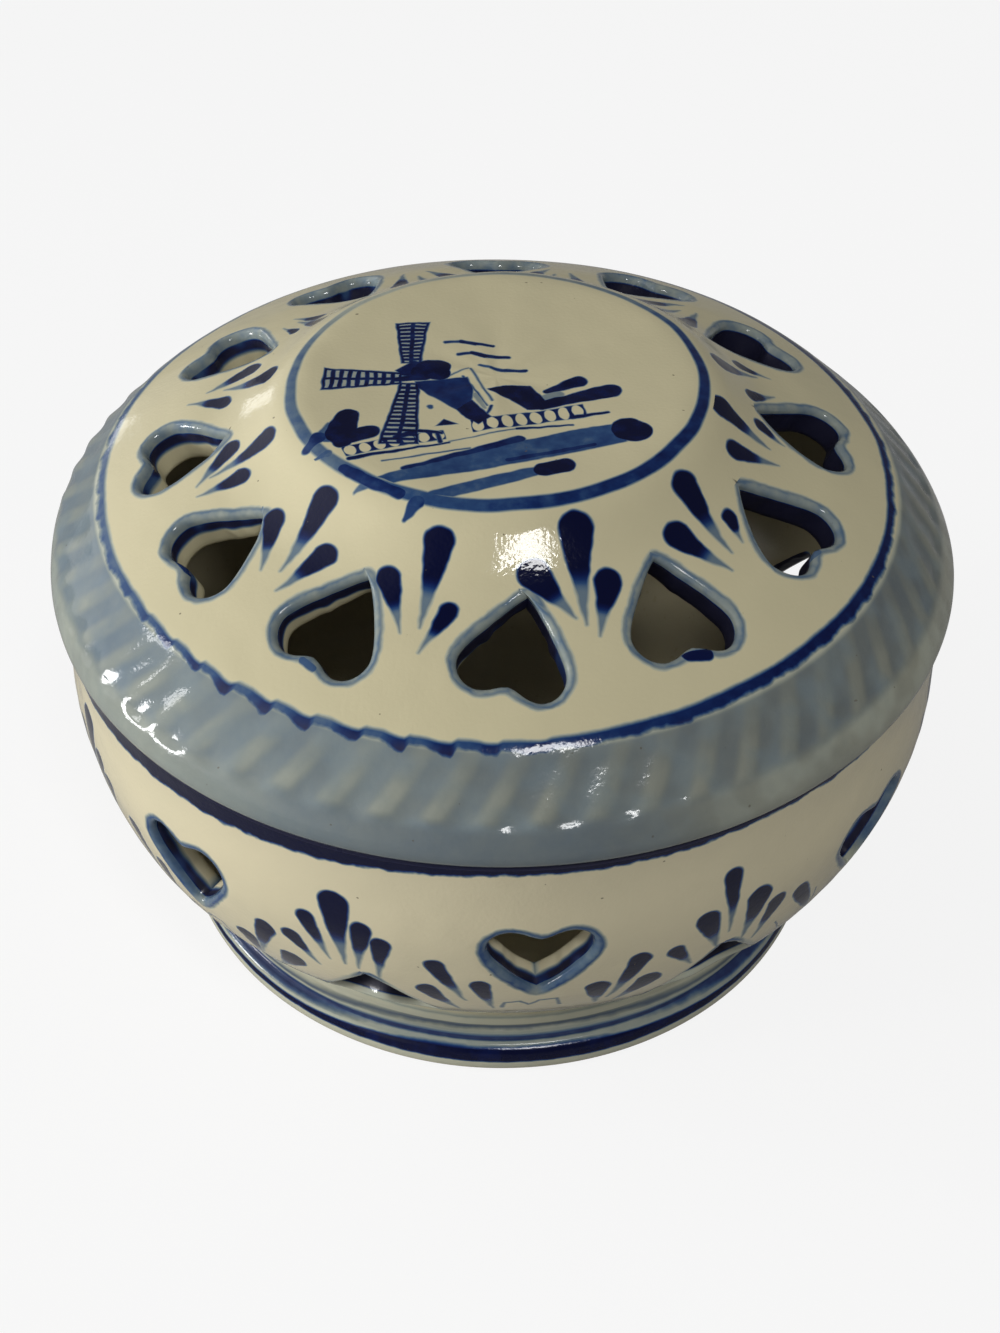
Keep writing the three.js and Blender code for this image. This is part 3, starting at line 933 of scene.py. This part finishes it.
def fluted_glaze():
    paint = Paint("lid_fluted_rim")
    x, along = paint.x, paint.along
    turn = (paint.azimuth - LID_PHASE) * (FLUTES * pi / 180)
    rib = (turn + (along - FLUTE_MIDDLE) * FLUTE_SLANT).call("COSINE")
    rough, slow = paint.noise(0.6, 2), paint.noise(0.08, 1)
    spots = paint.noise(0.25, 1).smooth(0.3, 0.65, 0.3, 1)
    # The line above the flutes, which was dabbed flute by flute on the left
    turned = (turn * (0.5 / pi) + (slow * 0.6 + 0.67)).call("FRACT")
    touch = turned.smooth(0.25, 0.8, 0, 1) * turned.smooth(0.84, 1, 1, 0)
    front = (paint.y * -0.04).min(1)
    dabbed = x.smooth(-47, -34, 0, 1) * x.smooth(-8, 14, 1, 0) * front
    high = x.smooth(-46, -28, -0.3, 0) + x.smooth(-10, 48, 53.1, 52.1)
    high = high + (rough - 0.5) * 0.3 + (slow - 0.5) * 0.8 + dabbed * touch * 0.5
    thick = x.smooth(-46, -26, 0.85, 1.2) * x.smooth(43, 50, 1, 0.6) + rough * 0.5
    low = high + thick + touch * spots * dabbed.scaled(0.15, 0.3) - dabbed * 0.2
    line = (along - high).step(-0.25, 0.35) * (along - low).step(0.45, -0.35)
    line = line * (rough * 0.25 + touch * dabbed * 0.25 + x.smooth(-20, 42, 0.42, 0.72))
    # The wash below it, thinner on the ribs and on the lip
    tabs = rib.smooth(-0.6, 0.95, 0, 0.11) * along.smooth(55.5, 60, 0.5, 1) * spots
    tabs = tabs * along.smooth(61.5, 62.8, 1, 0)
    pale = x.smooth(-46, -14, 0.12, -0.03) + x.smooth(8, 40, 0, 0.2)
    lip = along.smooth(61.6, 63.4, 0, 1) * pale
    body = rough * 0.05 + slow * 0.12 + x.smooth(-48, -30, 0.3, 0.27)
    wash = along.step(53.6, 54.6) * (body - tabs - lip)
    # Greyer and darker towards the right below the line, and on the lip most in front
    greyed = x.smooth(-40, 45, 0.14, 0.4) * spots * along.step(53.8, 54.8)
    lip_greyed = x.smooth(-40, -5, 0.05, 0.28) * x.smooth(20, 42, 1, 0.2)
    greyed = greyed.max(along.smooth(61.8, 63.6, 0, 1) * lip_greyed)
    return paint.glaze(line.max(wash), greyed, roughness=0.11)


def inside_glaze(name, rim):
    """Thin glaze, lighter than outside and darker away from the front as painted light and shade in
    the hollow, with the outside's colour on the rim's edge.
    """
    paint = Paint(name)
    ink = (paint.noise(0.05, 2) * 0.08).max(paint.radius.step(55.8, 56.3) * rim)
    # Painted shade: darker away from the front, over an uneven mottle
    brown_share = paint.noise(0.08, 2) * 0.2 + paint.y.smooth(-38, -6, 0, 0.5)
    return paint.glaze(ink, brown_share, roughness=0.28, bare=INSIDE_CREAM)


# Leaves about the bowl's hearts, and half their widths: over the lower ones by azimuth, and
# beside the upper ones
OVER_LOWER = {
    -62.5: (
        [((0.5, 7.9), (1.2, 18.5)), ((-2.3, 14), (0.2, 21.6)), ((4.7, 13.6), (3.8, 22.2)),
         ((7.8, 17), (6, 24)), ((-5.8, 18.6), (-3, 23.4))],
        (1.25, 1.55, 1.7, 1.4, 1.1),
    ),
    -107.5: (
        [((-0.9, 8.8), (-0.3, 20.6)), ((-4.5, 12.7), (-2.3, 20.4)), ((2.3, 12.3), (1.3, 20.8)),
         ((4.5, 14.4), (3.7, 22.4)), ((-7, 17.7), (-4, 23))],
        (1.95, 1.3, 1.35, 1.3, 1.3),
    ),
}
BY_UPPER = (
    [((-11.8, 17), (-8.3, 26)), ((-6.6, 21), (-5, 29)), ((-13, 23.2), (-9.3, 30)),
     ((12.2, 18.2), (9.2, 27.6)), ((7.5, 23.2), (8, 29.6)), ((14, 24.3), (10.5, 30))],
    (1.3, 1.25, 1.3, 1.45, 1.5, 1.7),
)
# The upper heart on the right has one long leaf on its left instead
RIGHT_UPPER = -40
BY_RIGHT_UPPER = ([((-10.5, 18), (-4, 30)), *BY_UPPER[0][1:]], (1.3, 0, 0, 1.45, 1.5, 1.7))
# A faint flower below each upper heart's tip, as points across and along in millimetres
FLOWER = [
    (-3.8, 28.3), (-3.5, 26.3), (-1.7, 25.8), (-0.6, 27.2), (0.6, 25.6), (2.6, 25.4), (3.1, 28),
]
# How many strokes one pick of half widths serves
STROKES_AT_ONCE = 3


def bowl_leaves(middle):
    """The leaves and their half widths of each cell about a middle."""
    cells = []
    for k in range(BOWL_CELLS):
        azimuth = wrapped(middle + BOWL_STEP * k)
        if middle == BOWL_PHASE:
            leaves, widths = BY_RIGHT_UPPER if azimuth == RIGHT_UPPER else BY_UPPER
        else:
            leaves, widths = OVER_LOWER.get(azimuth, OVER_LOWER[-107.5])
        # Only the leaves that the photograph doesn't show stray from these places
        stray = 0 if -110 < azimuth < -30 else 0.8
        leaves = [
            tuple((a + near(stray, n), s + near(stray, n + 5)) for a, s in ends)
            for n, ends in enumerate(leaves, 3 * k)
        ]
        cells.append((leaves, widths))
    return cells


def belly_glaze():
    paint = Paint("bowl_belly")
    along, edge = paint.along, paint.edge
    radius_at = Profile(BOWL_OUTSIDE).radius
    inks = []
    for middle in (BOWL_PHASE + BOWL_STEP / 2, BOWL_PHASE):
        share, off = paint.cells(BOWL_CELLS, middle)
        point = paint.brushed(off * paint.radius, along)
        cells = bowl_leaves(middle)
        tables = list(zip(*(leaves for leaves, _ in cells)))
        for first in range(0, len(tables), STROKES_AT_ONCE):
            some = slice(first, first + STROKES_AT_ONCE)
            widths = [row[some] for _, row in cells]
            inks += sprays(paint, share, point, tables[some], widths, radius_at, 0, 40)
    inks += [dab(paint, point, *a, *b, 0.24, 0.24, 0.4) for a, b in zip(FLOWER, FLOWER[1:])]
    rough = paint.noise(0.5, 2)
    outline = heart_outline(paint, rough, 1.05, 0.3, 0.3, 0.33)
    outline = outline * along.smooth(21.5, 25, 1, 0.3)
    # Ink that ran into the hearts, down to the inside only in the lower ones, whose fully inked
    # walls are partly painted shade
    pool_and_shade = paint.noise(0.22, 1).smooth(0.3, 0.5, 0.7, 1)
    pool_and_shade = pool_and_shade.max(along.smooth(20, 24, 0, 1))
    below = along.smooth(22, 24, 0, 1)
    wall = edge.step(-0.35, -0.9) * edge.step(-2.5, -1.7).max(below) * pool_and_shade
    # A ragged line along the rim
    thin = paint.x.smooth(-37, 4, -1, 1) + paint.x.smooth(8, 40, 0, 0.75)
    rim = (along + (rough - 0.5) * 1.2 + thin).step(2.1, 1.5)
    return paint.glaze(most(*inks, outline, wall, rim), wall * 0.08, bare=BOWL_CREAM)


def foot_glaze():
    paint = Paint("bowl_foot_bands")
    rough = paint.noise(0.4, 2)
    z = paint.z + (rough - 0.5) * 0.25
    left = paint.x.smooth(-30, -6, 1, 0)
    # Away from the front the bands run lower
    low = left + paint.x.smooth(10, 36, 0, 0.9)
    sunk = z + low * 0.9
    upper, middle = sunk.between(5.95, 6.5, 0.25), sunk.between(4.3, 5.6, 0.35)
    navy = z.between(2, 8, 0.2) * (z + low * 1.05).step(4.1, 3.7)
    # Blue bands, a thin upper line, a pale wash between them and a faint darker line at the waist
    bands = most(
        upper * 0.5, middle * 0.7, navy * 0.98, z.between(0.6, 8.4, 0.5) * 0.12,
        sunk.between(3.6, 6.1, 0.3) * (left * -0.12 + 0.27), z.between(7.6, 8.1, 0.25) * 0.26,
    )
    # The upper line made darker and browner, the middle band a little
    brown_share = upper * 0.45 + middle * 0.15
    return paint.glaze(bands * rough.scaled(0.4, 0.8), brown_share, roughness=0.15, bare=BOWL_CREAM)


def biscuit():
    paint = Paint("foot_biscuit")
    return paint.glaze(paint.noise(0.3, 2) * 0.06, bump=0.6, roughness=0.55)


# Stage, camera and lights

# The photograph's height, focal length, middle and optical axis from the left, in pixels
PHOTO_HEIGHT, PHOTO_FOCAL, PHOTO_MIDDLE, PHOTO_AXIS = 1333, 1700, 500, 366.65
SENSOR = 36
# What the lamps face, in metres
AIM = Vector((0, 0, 0.05))


def direction(azimuth, elevation):
    a, e = radians(azimuth), radians(elevation)
    return Vector((cos(a) * cos(e), sin(a) * cos(e), sin(e)))


def add_floor():
    """Matt paper that looks brighter to the camera than it lights the box."""
    bpy.ops.mesh.primitive_plane_add(size=6)
    floor = bpy.context.object
    floor.name = "floor"
    paper = Nodes(bpy.data.materials.new("floor_paper"))
    matte = paper.new("BsdfDiffuse", (0.42, 0.42, 0.42, 1))
    glow = paper.plug("Emission", {"Strength": 1.17})
    paper.new("OutputMaterial", paper.new("MixShader", paper.camera_sees() * 0.72, matte, glow))
    floor.data.materials.append(paper.owner)


def add_camera():
    data = bpy.data.cameras.new("camera")
    data.sensor_width = SENSOR
    data.lens = PHOTO_FOCAL / PHOTO_HEIGHT * SENSOR
    data.shift_x = (PHOTO_MIDDLE - PHOTO_AXIS) / PHOTO_HEIGHT
    camera = bpy.data.objects.new("camera", data)
    right = Vector((0.99717708, 0.05738583, -0.04842257))
    up = Vector((-0.00349052, 0.6796276, 0.73354901))
    forward = Vector((-0.07500464, 0.73130923, -0.67790937))
    turn = Matrix((right, up, -forward)).transposed().to_4x4()
    camera.matrix_world = Matrix.Translation((0, -0.177995, 0.19536)) @ turn
    bpy.context.scene.collection.objects.link(camera)
    bpy.context.scene.camera = camera


def add_lamp(name, azimuth, elevation, distance, size, power):
    """A rectangular lamp on the given side of the box, facing it."""
    way = direction(azimuth, elevation)
    data = bpy.data.lights.new(name, "AREA")
    data.shape = "RECTANGLE"
    data.size, data.size_y = size
    data.energy = power
    lamp = bpy.data.objects.new(name, data)
    lamp.location = AIM + way * distance
    lamp.rotation_euler = (-way).to_track_quat("-Z", "Y").to_euler()
    bpy.context.scene.collection.objects.link(lamp)


def add_world(base, side, azimuth, elevation):
    """An even room that brightens smoothly towards one side."""
    room = Nodes(bpy.data.worlds.new("room"))
    bpy.context.scene.world = room.owner
    way = room.new("TexCoord").outputs["Generated"]
    towards = room.vector("DOT_PRODUCT", way, direction(azimuth, elevation))
    lit = room.plug("Background", {"Strength": towards.smooth(0.1, 1, base, side)})
    seen = room.new("Background")
    room.new("OutputWorld", room.new("MixShader", room.camera_sees(), lit, seen))


lid = lid_piece([
    medallion_glaze(), shoulder_glaze(), fluted_glaze(), inside_glaze("lid_inside", 0.3)])
bowl = bowl_piece([belly_glaze(), foot_glaze(), inside_glaze("bowl_inside", 0.95), biscuit()])
for piece, node in ((lid, "lid"), (bowl, "bowl")):
    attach(piece, node)
    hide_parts(node)
    node + "_glaze"
add_floor()
add_camera()
add_world(0.173, 1.7, -178, -2)
add_lamp("window_front", -72, 56, 1, (0.23, 0.155), 3.6)
add_lamp("window_back", 126, 4, 1.1, (0.08, 0.16), 0.1)
add_lamp("window_left", 178, 27, 1.1, (0.08, 0.22), 0.9)
add_lamp("window_low", -169, 2, 1.1, (0.24, 0.26), 8)
bpy.context.scene.view_settings.view_transform = "Standard"
